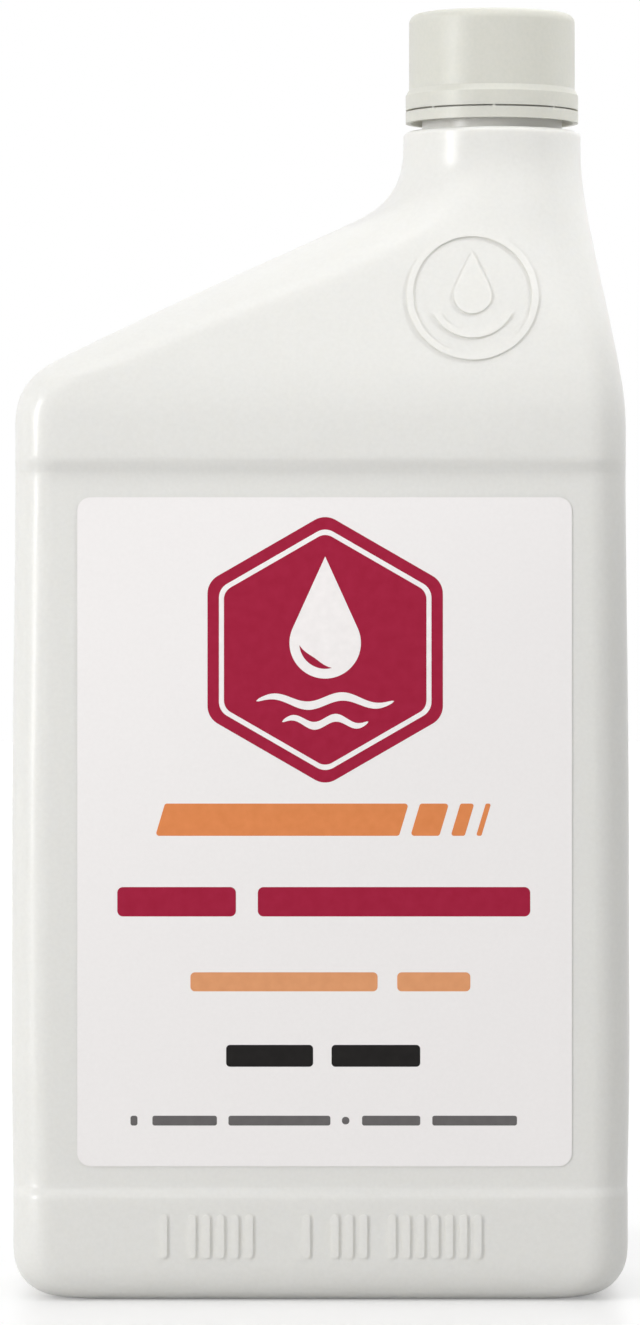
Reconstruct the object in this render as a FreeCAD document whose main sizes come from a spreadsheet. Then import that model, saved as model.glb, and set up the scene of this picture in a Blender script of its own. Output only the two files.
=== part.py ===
import FreeCAD, Part
import math
import os
import re
import Sketcher

# One US quart motor oil bottle: blow-moulded body with an offset neck, screw cap with a
# tamper band and a liner, and two stuck-on labels. Millimetres, +Z up, front towards -Y,
# origin at the middle of the base.

# Driving dimensions
DRIVING = {
    # Body
    "body_width": 107.4,
    "body_taper": 0.4,
    "body_depth": 58.0,
    "wall": 0.9,
    "body_corner": 7.0,
    "side_bulge": 0.45,
    # Base
    "base_corner_radius": 8.5,
    "base_edge_radius": 6.0,
    "foot_width": 4.0,
    "push_up_rise": 2.2,
    "push_up_run": 4.0,
    "push_up_corner": 5.0,
    # Recessed label panels, front and back
    "panel_bottom": 18.0,
    "panel_top": 146.6,
    "panel_recess": 1.2,
    "bottom_ledge": 2.3,
    "top_ledge": 3.1,
    # Shoulder and neck
    "neck_inset": 23.2,
    "collar_height": 205.2,
    "collar_thickness": 1.4,
    "collar_edge": 0.8,
    "collar_lip": 0.45,
    "left_shoulder_height": 160.3,
    "left_shoulder_radius": 11.0,
    "slope_crown": 0.5,
    "slope_crown_radius": 600.0,
    "left_foot_drop": 12.0,
    "left_foot_radius": 13.0,
    "right_shoulder_height": 156.4,
    "right_shoulder_radius": 50.0,
    "right_foot_drop": 8.0,
    "right_foot_radius": 60.0,
    "front_break_height": 158.0,
    "front_break_radius": 28.0,
    "front_foot_drop": 7.2,
    "front_foot_radius": 15.0,
    "round_start_drop": 41.0,
    "round_end_drop": 4.0,
    # Neck finish, a 28 mm screw neck
    "finish_height": 18.8,
    "bore_radius": 10.8,
    "root_radius": 12.45,
    "thread_radius": 13.6,
    "bead_radius": 14.25,
    "bead_rise": 4.1,
    "bead_land": 0.6,
    "bead_slope": 1.4,
    "rim_chamfer": 0.4,
    "pitch": 4.23,
    "thread_turns": 1.5,
    "thread_rise": 9.0,
    "thread_half_width": 1.05,
    "crest_half_width": 0.35,
    "thread_foot": 0.45,
    "thread_stub": 0.1,
    # Cap and its liner
    "cap_wall": 1.0,
    "cap_roof": 1.2,
    "cap_edge": 1.7,
    "thread_clearance": 0.15,
    "crest_clearance": 0.3,
    "liner_thickness": 1.0,
    "liner_clearance": 0.15,
    # Skirt of the cap and tamper band under it
    "skirt_wall": 0.9,
    "skirt_clearance": 0.2,
    "skirt_height": 2.6,
    "ledge_rise": 1.1,
    "ledge_sink": 0.4,
    "band_gap": 1.6,
    "band_height": 1.95,
    "band_slit": 0.3,
    "pawl_reach": 1.15,
    "pawl_land": 0.5,
    "bridge_radius": 0.35,
    "bridge_count": 8,
    # Labels
    "label_side_margin": 10.75,
    "label_shift": 0.7,
    "label_top_margin": 3.8,
    "label_bottom_margin": 3.2,
    "label_corner": 2.4,
    "label_thickness": 0.1,
    "glue_thickness": 0.03,
    # Raised work
    "relief": 0.35,
    "emblem_radius": 11.5,
    "emblem_line": 1.1,
    "emblem_shift": 4.0,
    "emblem_drop": 30.1,
    "oil_drop_radius": 3.3,
    "oil_drop_height": 11.0,
    "bowl_radius": 7.6,
    "stroke_width": 1.3,
    "stroke_height": 7.5,
    "stroke_bottom": 7.7,
    "stroke_spacing": 2.48,
}

# Sizes that follow from the driving ones
DERIVED = {
    "neck_offset": "body_width / 2 - neck_inset",
    "cap_inner": "thread_radius + thread_clearance",
    "cap_outer": "cap_inner + cap_wall",
    "skirt_inner": "bead_radius + skirt_clearance",
    "skirt_outer": "skirt_inner + skirt_wall",
    "collar_radius": "skirt_outer + collar_lip",
    "cap_crest": "root_radius + crest_clearance",
    "rim_height": "collar_height + finish_height",
    "ceiling_height": "rim_height + liner_thickness",
    "cap_height": "ceiling_height + cap_roof",
    "band_bottom": "collar_height + band_gap",
    "band_top": "band_bottom + band_height",
    "cap_bottom": "band_top + band_slit",
    "ledge_bottom": "cap_bottom + skirt_height",
    "ledge_top": "ledge_bottom + ledge_rise",
    "bead_bottom": "collar_height + bead_rise",
    "thread_start": "collar_height + thread_rise",
    "label_plane": "body_depth / 2 - panel_recess + glue_thickness",
    "label_bottom": "panel_bottom + bottom_ledge + label_bottom_margin",
    "label_top": "panel_top - top_ledge - label_top_margin",
    "label_half_width": "body_width / 2 - label_side_margin",
}

# How finely the smooth skins are drawn: control points round a corner, along the front or
# back and along a side, and the half angles of those last two where the plan is round
CORNER_STEPS = 10
FRONT_STEPS = 6
SIDE_STEPS = 4
FRONT_ANGLE = 18.0
SIDE_ANGLE = 12.0

# Level sections from the base up: its rounding, its wall, a ledge, the label panel, the
# shoulder with the neck, and the collar's edge
BASE_STEPS = 6
BAND_STEPS = 4
LEDGE_STEPS = 5
PANEL_STEPS = 12
SHOULDER_STEPS = 28
EDGE_STEPS = 4

# Thread ridges, in degrees round the neck: between sections, where they fade out at either
# end, and how much later the cap's starts than the neck's, past the skirt
THREAD_STEP = 10.0
THREAD_FADE = 40.0
CAP_THREAD_START = 150.0

# Half the height over which the slope of an outline is read
SLOPE_SPAN = 0.5

# Groups of raised strokes in the row at the foot, as strokes and spaces
STROKE_ROW = "| |||||   | ||| |||||||"

doc = FreeCAD.newDocument("oil_bottle")
sheet = doc.addObject("Spreadsheet::Sheet", "Dimensions")
for row, (name, number) in enumerate(DRIVING.items(), 1):
    sheet.set("A%d" % row, name)
    sheet.set("B%d" % row, str(number))
    sheet.setAlias("B%d" % row, name)
doc.recompute()


def formula(text):
    """The text with each size's name as a reference to its cell."""
    def refer(match):
        word = match.group()
        if word in DERIVED:
            return "(" + formula(DERIVED[word]) + ")"
        return "Dimensions." + word if word in DRIVING else word
    return re.sub("[a-z_]+", refer, text)


def size(text):
    """The value of a size, or of a formula of sizes."""
    return float(sheet.evalExpression(formula(text)))


def bind(item, **formulas):
    """Tie properties of an object to formulas of the sheet's sizes."""
    for name, text in formulas.items():
        item.setExpression(name, formula(text))
    return item


def put_on_neck(item, height="0"):
    """Stand an object on the axis of the neck at a height."""
    item.setExpression("Placement.Base.x", formula("neck_offset"))
    item.setExpression("Placement.Base.z", formula(height))
    return item


def add_shape(name, shape):
    """A feature that holds a shape made by a function."""
    item = doc.addObject("Part::Feature", name)
    item.Shape = shape
    return item


def combine(kind, name, *items):
    """A fusion or common volume of several objects."""
    item = doc.addObject(kind, name)
    item.Shapes = list(items)
    return item


def cut(name, base, tool):
    item = doc.addObject("Part::Cut", name)
    item.Base = base
    item.Tool = tool
    return item


def mix(low, high, share):
    return low + (high - low) * share


def ease(value, start, end):
    """A soft step from 0 at the start to 1 at the end."""
    share = min(max((value - start) / (end - start), 0.0), 1.0)
    return share * share * (3 - 2 * share)


def steps(start, end, count):
    """Evenly spaced values from the start up to but not with the end."""
    return [mix(start, end, index / count) for index in range(count)]


def fan(count):
    """The cosines of evenly spaced angles from 0 to a right angle."""
    return [math.cos(math.radians(90 * index / count)) for index in range(count + 1)]


# Smooth skins


def net_solid(rings):
    """A solid with a smooth skin over closed rings of control points, flat at both ends."""
    around = len(rings[0])
    along = len(rings)
    poles = [[ring[index] for ring in rings] for index in range(around)]
    skin = Part.BSplineSurface()
    skin.buildFromPolesMultsKnots(
        poles,
        [1] * (around + 1), [4] + [1] * (along - 4) + [4],
        list(range(around + 1)), list(range(along - 2)),
        True, False, 3, 3)
    side = skin.toShape()
    ends = [Part.Face(Part.Wire([edge])) for edge in side.Edges if edge.isClosed()]
    shell = Part.Shell([side] + ends)
    shell.sewShape()
    solid = Part.Solid(shell)
    if solid.Volume < 0:
        solid.reverse()
    return solid


def plan_ring(height, left, right, half, corner_left, corner_right, corner_deep, roundness=0.0):
    """Control points of a level section: a rectangle with elliptical corners, up to a circle.

    The ring runs over the back from right to left, and returns over the front.
    """
    front_angle = math.radians(FRONT_ANGLE * roundness)
    side_angle = math.radians(SIDE_ANGLE * roundness)

    def corner(end, reach, turn):
        """A back corner's points, from its side towards the back."""
        points = []
        for share in range(CORNER_STEPS + 1):
            angle = mix(side_angle, math.pi / 2 - front_angle, share / CORNER_STEPS)
            points.append((end + turn * reach * (math.cos(angle) - 1),
                           half + corner_deep * (math.sin(angle) - 1)))
        return points

    def between(first, last, count, bow_across, bow_deep):
        """Points from one corner to the next, bowed out where the plan is round."""
        points = []
        for share in steps(0.0, 1.0, count)[1:]:
            bow = 4 * share * (1 - share)
            points.append((mix(first[0], last[0], share) + bow_across * bow,
                           mix(first[1], last[1], share) + bow_deep * bow))
        return points

    right_corner = corner(right, corner_right, 1)
    left_corner = corner(left, corner_left, -1)
    bow_deep = corner_deep * (1 - math.cos(front_angle))
    bow_left = -corner_left * (1 - math.cos(side_angle))
    bow_right = corner_right * (1 - math.cos(side_angle))
    back = right_corner + between(right_corner[-1], left_corner[-1], FRONT_STEPS, 0.0, bow_deep)
    back += left_corner[::-1]
    front = [(across, -deep) for across, deep in reversed(back)]
    ring = back + between(back[-1], front[0], SIDE_STEPS, bow_left, 0.0)
    ring += front + between(front[-1], back[0], SIDE_STEPS, bow_right, 0.0)
    return [FreeCAD.Vector(across, deep, height) for across, deep in ring]


class Outline:
    """An upright outline of straight lines and arcs, read as a distance at each height.

    Each corner is (distance, height, radius). Growing moves the outline outwards, which is
    towards larger distances.
    """

    def __init__(self, corners, grow):
        self.pieces = []
        points = [FreeCAD.Vector(corner[0], corner[1], 0) for corner in corners]
        start = points[0]
        for before, point, after, corner in zip(points, points[1:], points[2:], corners[1:]):
            incoming = (point - before).normalize()
            outgoing = (after - point).normalize()
            turn = incoming.getAngle(outgoing)
            reach = corner[2] * math.tan(turn / 2)
            self.add_line(start, point - incoming * reach, grow)
            start = point + outgoing * reach
            bend = 1 if incoming.cross(outgoing).z > 0 else -1
            normal = FreeCAD.Vector(-incoming.y, incoming.x, 0) * bend
            centre = point - incoming * reach + normal * corner[2]
            self.add_arc(centre, corner[2] + grow * bend, bend, point - incoming * reach - centre,
                         start - centre)
        self.add_line(start, points[-1], grow)

    def add_line(self, start, end, grow):
        along = (end - start).normalize()
        shift = FreeCAD.Vector(along.y, -along.x, 0) * grow
        first = start + shift
        last = end + shift
        if last.y - first.y > 1e-6:
            slope = (last.x - first.x) / (last.y - first.y)
            self.pieces.append((first.y, last.y, lambda height: first.x + slope * (height - first.y)))

    def add_arc(self, centre, radius, bend, first, last):
        low = centre.y + radius * first.normalize().y
        high = centre.y + radius * last.normalize().y
        self.pieces.append((low, high, lambda height: centre.x + bend * math.sqrt(
            max(radius * radius - (height - centre.y) ** 2, 0.0))))

    def reach(self, height):
        """The distance at a height."""
        gap, function = min((max(low - height, height - high, 0.0), index, function)
                            for index, (low, high, function) in enumerate(self.pieces))[0::2]
        return function(height)


def bottle_skin(grow, top_drop=0.0):
    """The bottle's outside grown by an amount, up to some way under the collar's top."""
    width = size("body_width / 2")
    depth = size("body_depth / 2")
    neck = size("neck_offset")
    collar = size("collar_radius")
    collar_height = size("collar_height")
    base = size("base_corner_radius")
    edge = size("collar_edge")
    shoulder = size("left_shoulder_height")
    foot = size("collar_height - left_foot_drop")
    top_width = width - size("body_taper")
    left_line = Outline([
        (0.0, 0.0, 0.0),
        (width, 0.0, base),
        (top_width, shoulder, size("left_shoulder_radius")),
        ((top_width + collar - neck) / 2, (shoulder + foot) / 2 + size("slope_crown"),
         size("slope_crown_radius")),
        (collar - neck, foot, size("left_foot_radius")),
        (collar - neck, collar_height, edge),
        (-neck, collar_height, 0.0)], grow)
    right_line = Outline([
        (0.0, 0.0, 0.0),
        (width, 0.0, base),
        (top_width, size("right_shoulder_height"), size("right_shoulder_radius")),
        (neck + collar, size("collar_height - right_foot_drop"), size("right_foot_radius")),
        (neck + collar, collar_height, edge),
        (neck, collar_height, 0.0)], grow)
    side_line = Outline([
        (0.0, 0.0, 0.0),
        (depth, 0.0, size("base_edge_radius")),
        (depth, size("front_break_height"), size("front_break_radius")),
        (collar, size("collar_height - front_foot_drop"), size("front_foot_radius")),
        (collar, collar_height, edge),
        (0.0, collar_height, 0.0)], grow)

    bottom = size("panel_bottom")
    top = size("panel_top")
    bottom_flat = size("panel_bottom + bottom_ledge")
    top_flat = size("panel_top - top_ledge")
    round_start = size("collar_height - round_start_drop")
    round_end = size("collar_height - round_end_drop")
    corner = size("body_corner") + grow
    bulge = size("side_bulge")
    recess = size("panel_recess")
    middle = (bottom_flat + top_flat) / 2

    def ring(height):
        in_panel = ease(height, bottom, bottom_flat) * (1 - ease(height, top_flat, top))
        swell = bulge * ease(height, bottom, middle / 2) * (1 - ease(height, middle, top))
        left = -left_line.reach(height) - swell
        right = right_line.reach(height) + swell
        half = side_line.reach(height) - recess * in_panel
        roundness = ease(height, round_start, round_end)
        lean = 1.0
        if height > top:
            rise = left_line.reach(height + SLOPE_SPAN) - left_line.reach(height - SLOPE_SPAN)
            lean = math.hypot(1, rise / (2 * SLOPE_SPAN))
        half_width = (right - left) / 2
        return plan_ring(
            height, left, right, half,
            mix(min(corner * lean, half_width), half_width, roundness),
            mix(corner, half_width, roundness), mix(corner, half, roundness), roundness)

    lowest = -grow
    highest = collar_height + grow - top_drop
    heights = [lowest + (base + grow) * (1 - cosine) for cosine in fan(BASE_STEPS)]
    heights += steps(base, bottom, BAND_STEPS)[1:]
    heights += steps(bottom, bottom_flat, LEDGE_STEPS)
    heights += steps(bottom_flat, top_flat, PANEL_STEPS)
    heights += steps(top_flat, top, LEDGE_STEPS)
    heights += steps(top, highest - edge, SHOULDER_STEPS)
    heights += [highest - edge * cosine for cosine in fan(EDGE_STEPS)]
    return net_solid([ring(height) for height in heights])


def push_up(grow):
    """The hollow under the base, grown by an amount."""
    inset = size("foot_width") - grow
    rise = size("push_up_rise") + grow
    run = size("push_up_run")
    width = size("body_width / 2 - base_corner_radius")
    depth = size("body_depth / 2 - base_edge_radius")
    corner = size("push_up_corner") + grow

    def ring(height, inwards):
        across = width - inset - inwards
        return plan_ring(height, -across, across, depth - inset - inwards, corner, corner, corner)

    rings = [ring(height, 0.0) for height in steps(-2 * rise, 0.0, 3)]
    rings += [ring(rise * math.sqrt(1 - cosine * cosine), run * (1 - cosine))
              for cosine in fan(BASE_STEPS)]
    return net_solid(rings)


def thread(root, crest, start_height, start_angle):
    """A helical ridge from a root radius to a crest radius, sunk in and faded at both ends."""
    pitch = size("pitch")
    turns = size("thread_turns")
    half_root = size("thread_half_width")
    half_crest = size("crest_half_width")
    outward = 1 if crest > root else -1
    sunk = root - outward * size("thread_foot")
    stub = root - outward * size("thread_stub")
    whole = 360.0 * turns
    count = int(round(whole / THREAD_STEP))
    # A smooth skin runs inside its control points by this share of their radius
    spread = 3 / (2 + math.cos(math.radians(THREAD_STEP)))
    rings = []
    for index in range(count + 1):
        turned = whole * index / count
        angle = math.radians(start_angle + turned)
        fade = ease(turned, 0, THREAD_FADE) * (1 - ease(turned, whole - THREAD_FADE, whole))
        peak = mix(stub, crest, fade)
        flank = (sunk + peak) / 2
        middle = start_height + pitch * turned / 360
        section = [(sunk, -half_root), (flank, -half_root), (peak, -half_crest),
                   (peak, half_crest), (flank, half_root), (sunk, half_root)]
        rings.append([FreeCAD.Vector(radius * spread * math.cos(angle),
                                     radius * spread * math.sin(angle), middle + above)
                      for radius, above in section])
    return net_solid(rings)


# Bodies drawn as sketches


def new_sketch(body, role, name):
    """A sketch on one of the body's own origin planes."""
    sketch = body.newObject("Sketcher::SketchObject", name)
    plane = next(item for item in body.Origin.OriginFeatures if item.Role == role)
    sketch.AttachmentSupport = [(plane, "")]
    sketch.MapMode = "FlatFace"
    return sketch


def draw_polygon(sketch, corners):
    """Straight lines through corners whose two coordinates are formulas."""
    points = [FreeCAD.Vector(size(across), size(up), 0) for across, up in corners]
    for start, end in zip(points, points[1:] + points[:1]):
        sketch.addGeometry(Part.LineSegment(start, end), False)
    for index, (across, up) in enumerate(corners):
        following = (index + 1) % len(corners)
        sketch.addConstraint(Sketcher.Constraint("Coincident", index, 2, following, 1))
        for kind, text, axis in (("DistanceX", across, -2), ("DistanceY", up, -1)):
            if text == "0":
                sketch.addConstraint(Sketcher.Constraint("PointOnObject", index, 1, axis))
            else:
                number = sketch.addConstraint(
                    Sketcher.Constraint(kind, -1, 1, index, 1, size(text)))
                sketch.setExpression("Constraints[%d]" % number, formula(text))


def turned_body(name, corners):
    """A body turned about its own upright axis from a profile of radii and heights."""
    body = doc.addObject("PartDesign::Body", name)
    sketch = new_sketch(body, "XZ_Plane", name + "_profile")
    draw_polygon(sketch, corners)
    turning = body.newObject("PartDesign::Revolution", name + "_turning")
    turning.Profile = sketch
    turning.ReferenceAxis = (sketch, ["V_Axis"])
    turning.Angle = 360
    doc.recompute()
    return body


def make_finish():
    """The neck above the collar, still solid: root, bead and chamfered rim."""
    body = turned_body("finish", [
        ("0", "collar_height - collar_thickness"),
        ("root_radius", "collar_height - collar_thickness"),
        ("root_radius", "bead_bottom"),
        ("bead_radius", "bead_bottom"),
        ("bead_radius", "bead_bottom + bead_land"),
        ("root_radius", "bead_bottom + bead_land + bead_slope"),
        ("root_radius", "rim_height - rim_chamfer"),
        ("root_radius - rim_chamfer", "rim_height"),
        ("0", "rim_height")])
    return put_on_neck(body)


def make_emblem_prisms():
    """Prisms of the emblem, from the middle of the bottle forwards: a ring, a drop and a bowl."""
    depth = size("body_depth")
    line = size("emblem_line")
    round_end = size("oil_drop_radius")
    tip = size("oil_drop_height") - round_end
    bowl = size("bowl_radius")
    centre = FreeCAD.Vector(0, 0, 0)
    forwards = FreeCAD.Vector(0, -1, 0)

    def ring(radius):
        return Part.makeCylinder(radius, depth, centre, forwards).cut(
            Part.makeCylinder(radius - line, depth, centre, forwards))

    # The drop's straight sides touch its round end at this half width and height
    side = round_end * math.sqrt(tip * tip - round_end * round_end) / tip
    level = round_end * round_end / tip
    left_touch = FreeCAD.Vector(-side, 0, level)
    right_touch = FreeCAD.Vector(side, 0, level)
    point = FreeCAD.Vector(0, 0, tip)
    drop = Part.Face(Part.Wire([
        Part.LineSegment(left_touch, point).toShape(),
        Part.LineSegment(point, right_touch).toShape(),
        Part.Arc(right_touch, FreeCAD.Vector(0, 0, -round_end), left_touch).toShape()]))
    under_drop = Part.makeBox(2 * bowl, depth, bowl, FreeCAD.Vector(-bowl, -depth, -bowl - round_end))
    prisms = [ring(size("emblem_radius")), drop.extrude(forwards * depth),
              ring(bowl).common(under_drop)]
    item = add_shape("emblem_prisms", Part.Compound(prisms))
    return bind(item, **{"Placement.Base.x": "neck_offset - emblem_shift",
                         "Placement.Base.z": "collar_height - emblem_drop"})


def make_strokes():
    """A row of raised upright strokes with round ends, low on the front face."""
    width = size("stroke_width")
    straight = size("stroke_height - stroke_width")
    spacing = size("stroke_spacing")
    relief = size("relief")
    deep = relief + size("wall") / 2
    start = -spacing * (len(STROKE_ROW) - 1) / 2
    strokes = []
    for index, mark in enumerate(STROKE_ROW):
        if mark == "|":
            across = start + spacing * index
            box = Part.makeBox(width, deep, straight, FreeCAD.Vector(across - width / 2, 0, 0))
            ends = [Part.makeCylinder(width / 2, deep, FreeCAD.Vector(across, 0, height),
                                      FreeCAD.Vector(0, 1, 0)) for height in (0, straight)]
            strokes.append(box.fuse(ends).removeSplitter())
    item = add_shape("raised_strokes", Part.Compound(strokes))
    bind(item, **{"Placement.Base.y": "-body_depth / 2 - relief",
                  "Placement.Base.z": "stroke_bottom + stroke_width / 2"})
    return item


def make_bottle():
    outside = add_shape("outside", bottle_skin(0.0))
    raised = add_shape("raised_skin", bottle_skin(size("relief")))
    emblem = combine("Part::MultiCommon", "raised_emblem", raised, make_emblem_prisms())
    ridge = add_shape("neck_thread", thread(size("root_radius"), size("thread_radius"),
                                            size("thread_start"), 0.0))
    put_on_neck(ridge)
    full = combine("Part::MultiFuse", "full_bottle", outside, emblem, make_strokes(),
                   make_finish(), ridge)
    inside = add_shape("inside", bottle_skin(-size("wall"), size("collar_thickness - wall")))
    hollow = cut("hollow", inside, add_shape("raised_floor", push_up(size("wall"))))
    bore = doc.addObject("Part::Cylinder", "bore")
    bind(bore, Radius="bore_radius", Height="finish_height + 3 * collar_thickness")
    put_on_neck(bore, "collar_height - 2 * collar_thickness")
    cavities = combine("Part::MultiFuse", "cavities", hollow, bore,
                       add_shape("base_hollow", push_up(0.0)))
    return cut("bottle", full, cavities)


def make_cap():
    shell = turned_body("cap_shell", [
        ("skirt_outer", "cap_bottom"),
        ("skirt_outer", "ledge_bottom"),
        ("cap_outer", "ledge_top"),
        ("cap_outer", "cap_height"),
        ("0", "cap_height"),
        ("0", "ceiling_height"),
        ("cap_inner", "ceiling_height"),
        ("cap_inner", "ledge_top - ledge_sink"),
        ("skirt_inner", "ledge_bottom - ledge_sink"),
        ("skirt_inner", "cap_bottom")])
    turning = shell.Tip
    top_edge = next(index for index, edge in enumerate(turning.Shape.Edges, 1)
                    if abs(edge.BoundBox.ZMin - size("cap_height")) < 1e-4)
    rounding = shell.newObject("PartDesign::Fillet", "cap_rounding")
    rounding.Base = (turning, ["Edge%d" % top_edge])
    rounding.Radius = size("cap_edge")
    bind(rounding, Radius="cap_edge")
    shell.Tip = rounding
    # The cap's ridge runs half a pitch under the neck's, and starts where the skirt ends
    height = size("thread_start - pitch / 2") + size("pitch") * CAP_THREAD_START / 360
    ridge = add_shape("cap_thread", thread(size("cap_inner"), size("cap_crest"), height,
                                           CAP_THREAD_START))
    cap = combine("Part::MultiFuse", "cap", shell, ridge)
    return put_on_neck(cap)


def make_tamper_band():
    band = turned_body("tamper_band", [
        ("skirt_outer", "band_bottom"),
        ("skirt_outer", "band_top"),
        ("skirt_outer - skirt_wall - pawl_reach", "band_top"),
        ("skirt_outer - skirt_wall - pawl_reach", "band_top - pawl_land"),
        ("skirt_inner", "band_bottom")])
    sketch = new_sketch(band, "XY_Plane", "bridge_circle")
    sketch.addGeometry(Part.Circle(FreeCAD.Vector(size("skirt_outer - skirt_wall / 2"), 0, 0),
                                   FreeCAD.Vector(0, 0, 1), size("bridge_radius")), False)
    radius = sketch.addConstraint(Sketcher.Constraint("Radius", 0, size("bridge_radius")))
    sketch.setExpression("Constraints[%d]" % radius, formula("bridge_radius"))
    sketch.addConstraint(Sketcher.Constraint("PointOnObject", 0, 3, -1))
    place = sketch.addConstraint(Sketcher.Constraint("DistanceX", -1, 1, 0, 3, 1.0))
    sketch.setExpression("Constraints[%d]" % place, formula("skirt_outer - skirt_wall / 2"))
    sketch.setExpression("AttachmentOffset.Base.z", formula("band_top"))
    bridge = band.newObject("PartDesign::Pad", "bridge")
    bridge.Profile = sketch
    bind(bridge, Length="band_slit")
    doc.recompute()
    circle = band.newObject("PartDesign::PolarPattern", "bridges")
    circle.Originals = [bridge]
    circle.Axis = (sketch, ["N_Axis"])
    circle.Angle = 360
    bind(circle, Occurrences="bridge_count")
    band.Tip = circle
    return put_on_neck(band)


def make_liner():
    liner = doc.addObject("Part::Cylinder", "cap_liner")
    bind(liner, Radius="cap_inner - liner_clearance", Height="liner_thickness")
    return put_on_neck(liner, "rim_height")


def make_label(name, facing):
    """A label with round corners on a recessed panel, facing -Y at 0 degrees."""
    label = doc.addObject("PartDesign::Body", name)
    sketch = new_sketch(label, "XZ_Plane", name + "_outline")
    draw_polygon(sketch, [
        ("-label_half_width", "label_bottom"),
        ("label_half_width", "label_bottom"),
        ("label_half_width", "label_top"),
        ("-label_half_width", "label_top")])
    pad = label.newObject("PartDesign::Pad", name + "_sheet")
    pad.Profile = sketch
    bind(pad, Length="label_thickness")
    doc.recompute()
    thickness = size("label_thickness")
    corners = ["Edge%d" % index for index, edge in enumerate(pad.Shape.Edges, 1)
               if abs(edge.Length - thickness) < 1e-4]
    rounding = label.newObject("PartDesign::Fillet", name + "_corners")
    rounding.Base = (pad, corners)
    rounding.Radius = size("label_corner")
    bind(rounding, Radius="label_corner")
    label.Tip = rounding
    turn = FreeCAD.Rotation(FreeCAD.Vector(0, 0, 1), facing)
    label.Placement = FreeCAD.Placement(FreeCAD.Vector(0, 0, 0), turn)
    side = "" if facing == 0 else "-"
    label.setExpression("Placement.Base.x", formula(side + "label_shift"))
    label.setExpression("Placement.Base.y", formula("-1 * %slabel_plane" % side))
    return label


parts = [
    make_bottle(),
    make_cap(),
    make_tamper_band(),
    make_liner(),
    make_label("front_label", 0),
    make_label("back_label", 180),
]
doc.recompute()

for item in doc.Objects:
    if "Invalid" in item.State or "Error" in item.State:
        raise RuntimeError("%s could not be built" % item.Label)
for part in parts:
    if part.Shape.isNull() or not part.Shape.isValid():
        raise RuntimeError("%s has no valid shape" % part.Label)

os.makedirs("parts", exist_ok=True)
for part in parts:
    part.Shape.exportStep("parts/%s.step" % part.Label)
    box = part.Shape.BoundBox
    print("%-12s %8.2f cm3  x %.2f..%.2f  y %.2f..%.2f  z %.2f..%.2f" % (
        part.Label, part.Shape.Volume / 1000, box.XMin, box.XMax, box.YMin, box.YMax,
        box.ZMin, box.ZMax))
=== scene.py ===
import math

import bmesh
import bpy
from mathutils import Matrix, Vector


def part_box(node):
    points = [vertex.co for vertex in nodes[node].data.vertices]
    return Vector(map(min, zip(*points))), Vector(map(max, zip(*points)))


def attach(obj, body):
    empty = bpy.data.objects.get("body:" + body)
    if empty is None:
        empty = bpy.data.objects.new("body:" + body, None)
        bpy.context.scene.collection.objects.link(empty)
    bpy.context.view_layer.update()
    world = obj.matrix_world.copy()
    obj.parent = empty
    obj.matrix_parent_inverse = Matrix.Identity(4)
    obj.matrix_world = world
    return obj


# The motor oil bottle in a plain light studio. Metres, +Z up, front towards -Y.

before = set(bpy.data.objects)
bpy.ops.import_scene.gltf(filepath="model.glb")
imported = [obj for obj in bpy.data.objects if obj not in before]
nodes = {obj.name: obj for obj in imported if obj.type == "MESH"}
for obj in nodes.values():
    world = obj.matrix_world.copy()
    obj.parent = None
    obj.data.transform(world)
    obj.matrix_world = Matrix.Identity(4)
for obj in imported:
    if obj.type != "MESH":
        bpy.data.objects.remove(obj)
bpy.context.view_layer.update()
collection = bpy.context.scene.collection

# Colours, in screen values from 0 to 255
WHITE = (229, 228, 223)
WHITE_THICK = (232, 231, 226)
CAP_WHITE = (209, 209, 200)
CAP_WHITE_THICK = (213, 212, 203)
FOAM = (238, 238, 235)
# Painted shade: the darker colour in the hollows of the foam's pores
FOAM_PORE_SHADE = (222, 222, 218)
FILM = (243, 240, 239)
FILM_FIBRE = (241, 238, 237)
CRIMSON = (157, 22, 55)
ORANGE = (222, 134, 78)
PALE_ORANGE = (221, 153, 106)
BLACK = (20, 18, 17)
GREY = (100, 97, 97)
PAPER = (242, 238, 237)
THIN_INK = 7    # how much lighter ink is where it is thin

# How far light goes into the plastic, in metres, and how much of it does
GLOW_DEPTH = 0.002
GLOW = 0.4


def linear(value):
    """A screen value as linear light from 0 to 1, by the sRGB curve."""
    share = value / 255
    return share / 12.92 if share <= 0.04045 else ((share + 0.055) / 1.055) ** 2.4


# Materials


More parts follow.
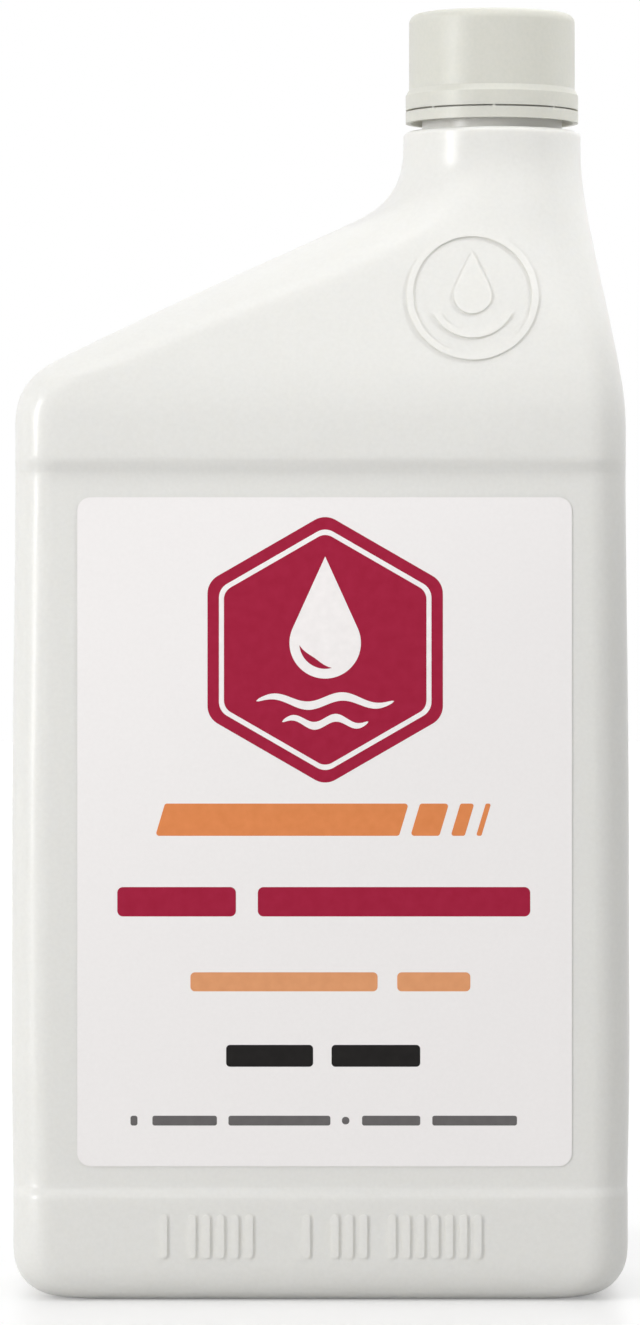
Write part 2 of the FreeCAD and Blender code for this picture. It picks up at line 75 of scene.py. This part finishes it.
class Tree:
    """A material's nodes, with short calls for the ones used here."""

    def __init__(self, name):
        self.material = bpy.data.materials.new(name)
        self.material.use_nodes = True
        self.nodes = self.material.node_tree.nodes
        self.links = self.material.node_tree.links
        self.nodes.clear()
        output = self.nodes.new("ShaderNodeOutputMaterial")
        self.shader = self.nodes.new("ShaderNodeBsdfPrincipled")
        self.links.new(self.shader.outputs["BSDF"], output.inputs["Surface"])
        self.place = self.nodes.new("ShaderNodeTexCoord").outputs["Object"]

    def noise(self, scale, detail=2.0, stretch=None):
        """Noise over the object's own place, in features per metre."""
        node = self.nodes.new("ShaderNodeTexNoise")
        node.inputs["Scale"].default_value = scale
        node.inputs["Detail"].default_value = detail
        place = self.place
        if stretch:
            mapping = self.nodes.new("ShaderNodeMapping")
            mapping.inputs["Scale"].default_value = stretch
            self.links.new(place, mapping.inputs["Vector"])
            place = mapping.outputs["Vector"]
        self.links.new(place, node.inputs["Vector"])
        return node.outputs["Fac"]

    def spread(self, value, low, high, start=0.3, end=0.7):
        """A value from start to end, as one from low to high."""
        node = self.nodes.new("ShaderNodeMapRange")
        for name, number in (("From Min", start), ("From Max", end),
                             ("To Min", low), ("To Max", high)):
            node.inputs[name].default_value = number
        self.links.new(value, node.inputs["Value"])
        return node.outputs["Result"]

    def blend(self, noise, first, second):
        """Two colours mixed by a noise."""
        node = self.nodes.new("ShaderNodeMix")
        node.data_type = "RGBA"
        for name, shade in (("A", first), ("B", second)):
            node.inputs[name].default_value = (*map(linear, shade), 1.0)
        self.links.new(self.spread(noise, 0.0, 1.0), node.inputs["Factor"])
        return next(socket for socket in node.outputs if socket.type == "RGBA")

    def bump(self, value, height, under=None):
        """A bump of a height in metres, over another bump."""
        node = self.nodes.new("ShaderNodeBump")
        node.inputs["Distance"].default_value = height
        self.links.new(value, node.inputs["Height"])
        if under is not None:
            self.links.new(under, node.inputs["Normal"])
        return node.outputs["Normal"]

    def seam(self, half_width):
        """1 on the mould's parting plane through the middle of the depth, 0 beside it."""
        split = self.nodes.new("ShaderNodeSeparateXYZ")
        self.links.new(self.place, split.inputs["Vector"])
        distance = self.nodes.new("ShaderNodeMath")
        distance.operation = "ABSOLUTE"
        self.links.new(split.outputs["Y"], distance.inputs[0])
        return self.spread(distance.outputs["Value"], 1.0, 0.0, start=0.0, end=half_width)

    def set(self, **values):
        """Set the shader's inputs, to numbers or to other nodes' outputs."""
        for name, value in values.items():
            socket = self.shader.inputs[name.replace("_", " ")]
            if isinstance(value, bpy.types.NodeSocket):
                self.links.new(value, socket)
            else:
                socket.default_value = value
        return self.material


def blown_plastic():
    """Blow-moulded polyethylene: satin, slightly uneven, with the mould's parting line."""
    tree = Tree("blown_white_plastic")
    ridge = tree.bump(tree.seam(half_width=0.00022), height=0.00008)
    waves = tree.bump(tree.noise(55.0, detail=1.0), height=0.00012, under=ridge)
    peel = tree.bump(tree.noise(900.0, detail=3.0), height=0.000012, under=waves)
    return tree.set(
        Base_Color=tree.blend(tree.noise(1400.0, detail=3.0), WHITE, WHITE_THICK),
        Roughness=tree.spread(tree.noise(60.0, detail=0.0), 0.28, 0.32),
        Subsurface_Weight=GLOW,
        Subsurface_Radius=(1.0, 0.95, 0.85),
        Subsurface_Scale=GLOW_DEPTH,
        Normal=peel)


def moulded_plastic():
    """Injection-moulded polypropylene: less glossy, with a fine grain and faint flow lines."""
    tree = Tree("cap_plastic")
    flow = tree.bump(tree.noise(220.0, stretch=(1.0, 1.0, 0.25)), height=0.00002)
    grain = tree.bump(tree.noise(1600.0, detail=3.0), height=0.000006, under=flow)
    return tree.set(
        Base_Color=tree.blend(tree.noise(1600.0, detail=3.0), CAP_WHITE, CAP_WHITE_THICK),
        Roughness=tree.spread(tree.noise(150.0, detail=0.0), 0.4, 0.45),
        Subsurface_Weight=GLOW,
        Subsurface_Radius=(1.0, 0.95, 0.8),
        Subsurface_Scale=GLOW_DEPTH,
        Normal=grain)


def foam():
    """Fine closed foam with small pores, whose hollows are painted darker as painted shade."""
    tree = Tree("liner_foam")
    pores = tree.noise(2600.0, detail=5.0)
    return tree.set(
        # Where the pore noise makes a hollow, the colour turns darker: painted shade
        Base_Color=tree.blend(pores, FOAM_PORE_SHADE, FOAM),
        Roughness=tree.spread(tree.noise(700.0), 0.75, 0.9),
        Normal=tree.bump(pores, height=0.00006))


def film():
    """Smooth label film with a faint grain."""
    tree = Tree("label_film")
    waves = tree.bump(tree.noise(35.0, detail=1.0), height=0.00003)
    grain = tree.bump(tree.noise(1800.0, detail=4.0), height=0.000003, under=waves)
    return tree.set(
        Base_Color=tree.blend(tree.noise(1500.0, detail=3.0), FILM, FILM_FIBRE),
        Roughness=tree.spread(tree.noise(70.0, detail=0.0), 0.35, 0.39),
        Normal=grain)


def ink(name, shade):
    """Printing ink: even, a little denser in some places than in others."""
    tree = Tree(name)
    thin = [min(value + THIN_INK, 255) for value in shade]
    return tree.set(
        Base_Color=tree.blend(tree.noise(500.0, detail=5.0), shade, thin),
        Roughness=tree.spread(tree.noise(120.0, detail=3.0), 0.4, 0.5),
        Specular_IOR_Level=0.15,
        Normal=tree.bump(tree.noise(2400.0, detail=3.0), height=0.000002))


def dress(name, material):
    """Give a CAD node one material."""
    slots = nodes[name].data.materials
    slots.clear()
    slots.append(material)


cap_plastic = moulded_plastic()
label_film = film()
dress("bottle", blown_plastic())
dress("cap", cap_plastic)
dress("tamper_band", cap_plastic)
dress("cap_liner", foam())
dress("front_label", label_film)
dress("back_label", label_film)


# Print on the labels: flat shapes in millimetres, across from the label's middle to the
# reader's right, and up from the ground. A row is its lower and its upper edge.

MM_PER_METRE = 1000
INK_THICKNESS = 0.000015    # in metres
ARC_STEPS = 12
WAVE_PERIODS = 2
WAVE_TAPER = 0.4


def round_corners(corners, radius):
    """A closed outline with its corners rounded."""
    outline = []
    for index, corner in enumerate(corners):
        here = Vector(corner)
        back = (Vector(corners[index - 1]) - here).normalized()
        ahead = (Vector(corners[(index + 1) % len(corners)]) - here).normalized()
        half = back.angle(ahead) / 2
        middle = here + (back + ahead).normalized() * radius / math.sin(half)
        first = here + back * radius / math.tan(half) - middle
        last = here + ahead * radius / math.tan(half) - middle
        turn = math.atan2(first.x * last.y - first.y * last.x, first.dot(last))
        for step in range(ARC_STEPS + 1):
            angle = turn * step / ARC_STEPS
            outline.append((middle.x + first.x * math.cos(angle) - first.y * math.sin(angle),
                            middle.y + first.x * math.sin(angle) + first.y * math.cos(angle)))
    return outline


def bar(left, right, row, radius, slant=0.0):
    """A bar with round corners, its ends leaning to the right by a share of its height."""
    low, high = row
    lean = (high - low) * slant
    return round_corners([(left, low), (right - lean, low), (right, high), (left + lean, high)],
                         radius)


def hexagon(across, up, reach, radius):
    """A hexagon that stands on a point, with its corners rounded."""
    corners = [(across + reach * math.sin(math.radians(turn)),
                up + reach * math.cos(math.radians(turn))) for turn in range(0, -360, -60)]
    return round_corners(corners, radius)


def drop(across, up, radius, height):
    """An oil drop with its round end about a centre, and a point at a height over it."""
    touch = math.acos(radius / height)
    steps = 4 * ARC_STEPS
    outline = [(across, up + height)]
    for step in range(steps + 1):
        turn = touch + (2 * math.pi - 2 * touch) * step / steps
        outline.append((across - radius * math.sin(turn), up + radius * math.cos(turn)))
    return outline


def crescent(across, up, radius, width, start, end):
    """A curved stroke round a centre, thin at both ends, between two angles in degrees."""
    outer = []
    inner = []
    steps = 2 * ARC_STEPS
    for step in range(steps + 1):
        turn = math.radians(start + (end - start) * step / steps)
        thick = width * math.sin(math.pi * step / steps)
        outer.append((across + radius * math.cos(turn), up + radius * math.sin(turn)))
        inner.append((across + (radius - thick) * math.cos(turn),
                      up + (radius - thick) * math.sin(turn)))
    return outer + inner[-2:0:-1]


def wave(across, up, length, rise, width):
    """A wavy line with pointed ends."""
    steps = 5 * ARC_STEPS
    over = []
    under = []
    for step in range(steps + 1):
        share = step / steps
        level = up + rise * math.sin(2 * math.pi * WAVE_PERIODS * share)
        thick = width / 2 * math.sin(math.pi * share) ** WAVE_TAPER
        place = across + length * (share - 0.5)
        over.append((place, level + thick))
        under.append((place, level - thick))
    return under + over[-2:0:-1]


def print_shapes(name, label, material, outlines, layer=0):
    """Thin flat shapes printed on a label, over as many layers of ink as the number says."""
    low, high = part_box(label)
    front = label == "front_label"
    surface = low.y if front else high.y
    outwards = -1 if front else 1
    middle = (low.x + high.x) / 2
    mesh = bmesh.new()
    for outline in outlines:
        points = [Vector((middle - outwards * across / MM_PER_METRE, 0.0, up / MM_PER_METRE))
                  for across, up in outline]
        rings = []
        for depth in (0.0, INK_THICKNESS):
            shift = Vector((0.0, surface + outwards * (layer * INK_THICKNESS + depth), 0.0))
            rings.append([mesh.verts.new(point + shift) for point in points])
        mesh.faces.new(rings[1])
        mesh.faces.new(rings[0][::-1])
        for index in range(len(points)):
            following = (index + 1) % len(points)
            mesh.faces.new((rings[0][index], rings[0][following],
                            rings[1][following], rings[1][index]))
    bmesh.ops.recalc_face_normals(mesh, faces=mesh.faces)
    bmesh.ops.triangulate(mesh, faces=[face for face in mesh.faces if len(face.verts) > 4])
    data = bpy.data.meshes.new(name)
    mesh.to_mesh(data)
    mesh.free()
    data.materials.append(material)
    piece = bpy.data.objects.new(name, data)
    collection.objects.link(piece)
    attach(piece, "bottle")


crimson_ink = ink("crimson_ink", CRIMSON)
orange_ink = ink("orange_ink", ORANGE)
pale_orange_ink = ink("pale_orange_ink", PALE_ORANGE)
black_ink = ink("black_ink", BLACK)
grey_ink = ink("grey_ink", GREY)
paper_ink = ink("paper_ink", PAPER)

# The front label: an emblem of a drop over two waves, a stripe, and four rows of bars
EMBLEM_ACROSS = 0.1
EMBLEM_UP = 113.2
DROP_UP = EMBLEM_UP + 1.2
STRIPE_ROW = (80.9, 86.5)
STRIPE_SLANT = 0.3
CRIMSON_ROW = (66.9, 72.0)
ORANGE_ROW = (53.9, 57.2)
BLACK_ROW = (40.8, 44.6)
GREY_ROW = (30.6, 32.3)
DOT_ROW = (30.8, 32.1)

print_shapes("emblem_field", "front_label", crimson_ink,
             [hexagon(EMBLEM_ACROSS, EMBLEM_UP, reach=23.6, radius=3.6)])
print_shapes("emblem_frame", "front_label", paper_ink,
             [hexagon(EMBLEM_ACROSS, EMBLEM_UP, reach=21.3, radius=2.8)], layer=1)
print_shapes("emblem_ground", "front_label", crimson_ink,
             [hexagon(EMBLEM_ACROSS, EMBLEM_UP, reach=20.3, radius=2.4)], layer=2)
print_shapes("emblem_drop", "front_label", paper_ink,
             [drop(EMBLEM_ACROSS, DROP_UP, radius=6.2, height=15.0)], layer=3)
print_shapes("emblem_glint", "front_label", crimson_ink,
             [crescent(EMBLEM_ACROSS, DROP_UP, radius=4.5, width=1.3, start=185.0, end=285.0)],
             layer=4)
print_shapes("emblem_waves", "front_label", paper_ink,
             [wave(EMBLEM_ACROSS, EMBLEM_UP - 8.9, length=24.0, rise=0.8, width=1.5),
              wave(EMBLEM_ACROSS, EMBLEM_UP - 12.5, length=15.0, rise=0.7, width=1.4)],
             layer=3)
print_shapes("orange_stripe", "front_label", orange_ink,
             [bar(left, right, STRIPE_ROW, radius, STRIPE_SLANT)
              for left, right, radius in ((-29.4, 14.6, 0.5), (14.9, 21.6, 0.5),
                                          (21.9, 26.0, 0.4), (26.3, 28.9, 0.3))])
print_shapes("crimson_bars", "front_label", crimson_ink,
             [bar(-36.0, -15.4, CRIMSON_ROW, 1.0), bar(-11.6, 35.7, CRIMSON_ROW, 1.0)])
print_shapes("orange_bars", "front_label", pale_orange_ink,
             [bar(-23.3, 9.2, ORANGE_ROW, 0.8), bar(12.6, 25.3, ORANGE_ROW, 0.8)])
print_shapes("black_bars", "front_label", black_ink,
             [bar(-17.1, -2.0, BLACK_ROW, 0.7), bar(1.2, 16.6, BLACK_ROW, 0.7)])
print_shapes("grey_bars", "front_label", grey_ink,
             [bar(-33.7, -32.5, GREY_ROW, 0.4), bar(-29.9, -18.7, GREY_ROW, 0.4),
              bar(-16.7, 1.0, GREY_ROW, 0.4), bar(3.0, 4.3, DOT_ROW, 0.6),
              bar(6.5, 16.6, GREY_ROW, 0.4), bar(18.7, 33.4, GREY_ROW, 0.4)])

# The back label: a heading, a rule, plain lines and two bars at the foot
BACK_LEFT = -36.0
BACK_RIGHT = 36.0
HEADING_ROW = (126.0, 129.6)
RULE_ROW = (121.6, 122.2)
FIRST_LINE_LOW = 115.5
FIRST_LINE_HIGH = 116.7
LINE_PITCH = 5.2
LINE_ENDS = (34.6, 36.0, 33.1, 35.4, 18.0, 35.8, 34.2, 36.0, 26.5, 35.1, 33.6, 35.9, 9.0)
FOOT_ROW = (33.4, 36.0)

print_shapes("back_heading", "back_label", crimson_ink,
             [bar(BACK_LEFT, 12.0, HEADING_ROW, 0.8)])
print_shapes("back_rule", "back_label", orange_ink,
             [bar(BACK_LEFT, BACK_RIGHT, RULE_ROW, 0.25)])
print_shapes("back_lines", "back_label", grey_ink,
             [bar(BACK_LEFT, end,
                  (FIRST_LINE_LOW - LINE_PITCH * line, FIRST_LINE_HIGH - LINE_PITCH * line), 0.4)
              for line, end in enumerate(LINE_ENDS)])
print_shapes("back_foot", "back_label", black_ink,
             [bar(BACK_LEFT, -14.0, FOOT_ROW, 0.6), bar(-11.6, 4.0, FOOT_ROW, 0.6)])


# Studio

AMBIENT = 0.58
FLOOR_SHADE = 0.75
FLOOR_HALF_SIZE = 6.0
# The floor's own glow turns from the first strength to the second between two distances
# from the bottle, so that it keeps the shadow and ends in white
FLOOR_GLOW = (0.26, 0.5)
FLOOR_FADE = (0.25, 1.3)


def aim(thing, place, target):
    """Put a lamp or camera at a place and point it at a target."""
    thing.location = place
    thing.rotation_euler = (Vector(target) - Vector(place)).to_track_quat("-Z", "Y").to_euler()


def lamp(name, place, target, size, power, spread=180.0):
    """A lamp that the camera doesn't see: a rectangle in metres, its power in watts and the
    angle that its light fills in degrees."""
    data = bpy.data.lights.new(name, "AREA")
    data.shape = "RECTANGLE"
    data.size, data.size_y = size
    data.energy = power
    data.spread = math.radians(spread)
    thing = bpy.data.objects.new(name, data)
    thing.visible_camera = False
    collection.objects.link(thing)
    aim(thing, place, target)
    return thing


lamp("side", (-1.15, -0.78, 0.46), (0.0, 0.0, 0.12), size=(0.16, 0.8), power=8.4)
lamp("front", (-0.2, -1.6, 0.5), (0.0, 0.0, 0.11), size=(1.2, 0.7), power=1.2)
lamp("top", (0.0, -0.4, 1.1), (0.0, -0.2, 0.0), size=(0.8, 0.6), power=1.65)
lamp("back", (0.3, 1.3, 1.7), (0.0, 0.0, 0.11), size=(1.0, 0.8), power=5.0)
# A small fill for the neck and cap, which leaves no reflection
neck_lamp = lamp("neck", (0.46, -0.1, 0.54), (0.046, 0.0, 0.209), size=(0.1, 0.1),
                 power=0.0145, spread=8.0)
neck_lamp.visible_glossy = False


def seen_directly(tree):
    """1 for camera, mirror and glass rays, 0 for the ones that light things."""
    path = tree.nodes.new("ShaderNodeLightPath")
    value = path.outputs["Is Camera Ray"]
    for name in ("Is Glossy Ray", "Is Transmission Ray"):
        larger = tree.nodes.new("ShaderNodeMath")
        larger.operation = "MAXIMUM"
        tree.links.new(value, larger.inputs[0])
        tree.links.new(path.outputs[name], larger.inputs[1])
        value = larger.outputs["Value"]
    return value


def make_world():
    """A world that is white to look at, and lights the bottle less."""
    world = bpy.data.worlds.new("studio")
    bpy.context.scene.world = world
    world.use_nodes = True
    tree = world.node_tree
    backdrop = tree.nodes["Background"]
    backdrop.inputs["Color"].default_value = (1.0, 1.0, 1.0, 1.0)
    strength = tree.nodes.new("ShaderNodeMapRange")
    strength.inputs["To Min"].default_value = AMBIENT
    strength.inputs["To Max"].default_value = 1.0
    tree.links.new(seen_directly(tree), strength.inputs["Value"])
    tree.links.new(strength.outputs["Result"], backdrop.inputs["Strength"])


def make_floor():
    """A pale floor that keeps the shadow and a faint reflection, and fades to white."""
    tree = Tree("floor_white")
    distance = tree.nodes.new("ShaderNodeVectorMath")
    distance.operation = "LENGTH"
    tree.links.new(tree.place, distance.inputs["Vector"])
    glow = tree.nodes.new("ShaderNodeMath")
    glow.operation = "MULTIPLY"
    tree.links.new(tree.spread(distance.outputs["Value"], *FLOOR_GLOW, *FLOOR_FADE),
                   glow.inputs[0])
    tree.links.new(seen_directly(tree), glow.inputs[1])
    tree.set(
        Base_Color=(FLOOR_SHADE, FLOOR_SHADE, FLOOR_SHADE, 1.0),
        Roughness=tree.spread(tree.noise(6.0, detail=0.0), 0.3, 0.34),
        Specular_IOR_Level=0.2,
        Emission_Color=(1.0, 1.0, 1.0, 1.0),
        Emission_Strength=glow.outputs["Value"])
    mesh = bmesh.new()
    bmesh.ops.create_grid(mesh, x_segments=8, y_segments=8, size=FLOOR_HALF_SIZE)
    data = bpy.data.meshes.new("floor")
    mesh.to_mesh(data)
    mesh.free()
    data.materials.append(tree.material)
    floor = bpy.data.objects.new("floor", data)
    collection.objects.link(floor)


make_world()
make_floor()

# The camera: level, and straight at the front
CAMERA_DISTANCE = 1.13
CAMERA_ASIDE = -0.0001
CAMERA_HEIGHT = 0.1149
SENSOR = 24.0
PICTURE_ROWS = 1325
ROWS_PER_METRE = 5617.0    # of the picture, at the middle of the bottle's depth
HORIZON_ROW = 640.0

view = bpy.data.cameras.new("camera")
view.sensor_fit = "VERTICAL"
view.sensor_height = SENSOR
view.lens = SENSOR * ROWS_PER_METRE * CAMERA_DISTANCE / PICTURE_ROWS
view.shift_y = -(PICTURE_ROWS / 2 - HORIZON_ROW) / PICTURE_ROWS
view.clip_start = 0.01
camera = bpy.data.objects.new("camera", view)
collection.objects.link(camera)
aim(camera, (CAMERA_ASIDE, -CAMERA_DISTANCE, CAMERA_HEIGHT), (CAMERA_ASIDE, 0.0, CAMERA_HEIGHT))
bpy.context.scene.camera = camera
bpy.context.scene.view_settings.view_transform = "Standard"
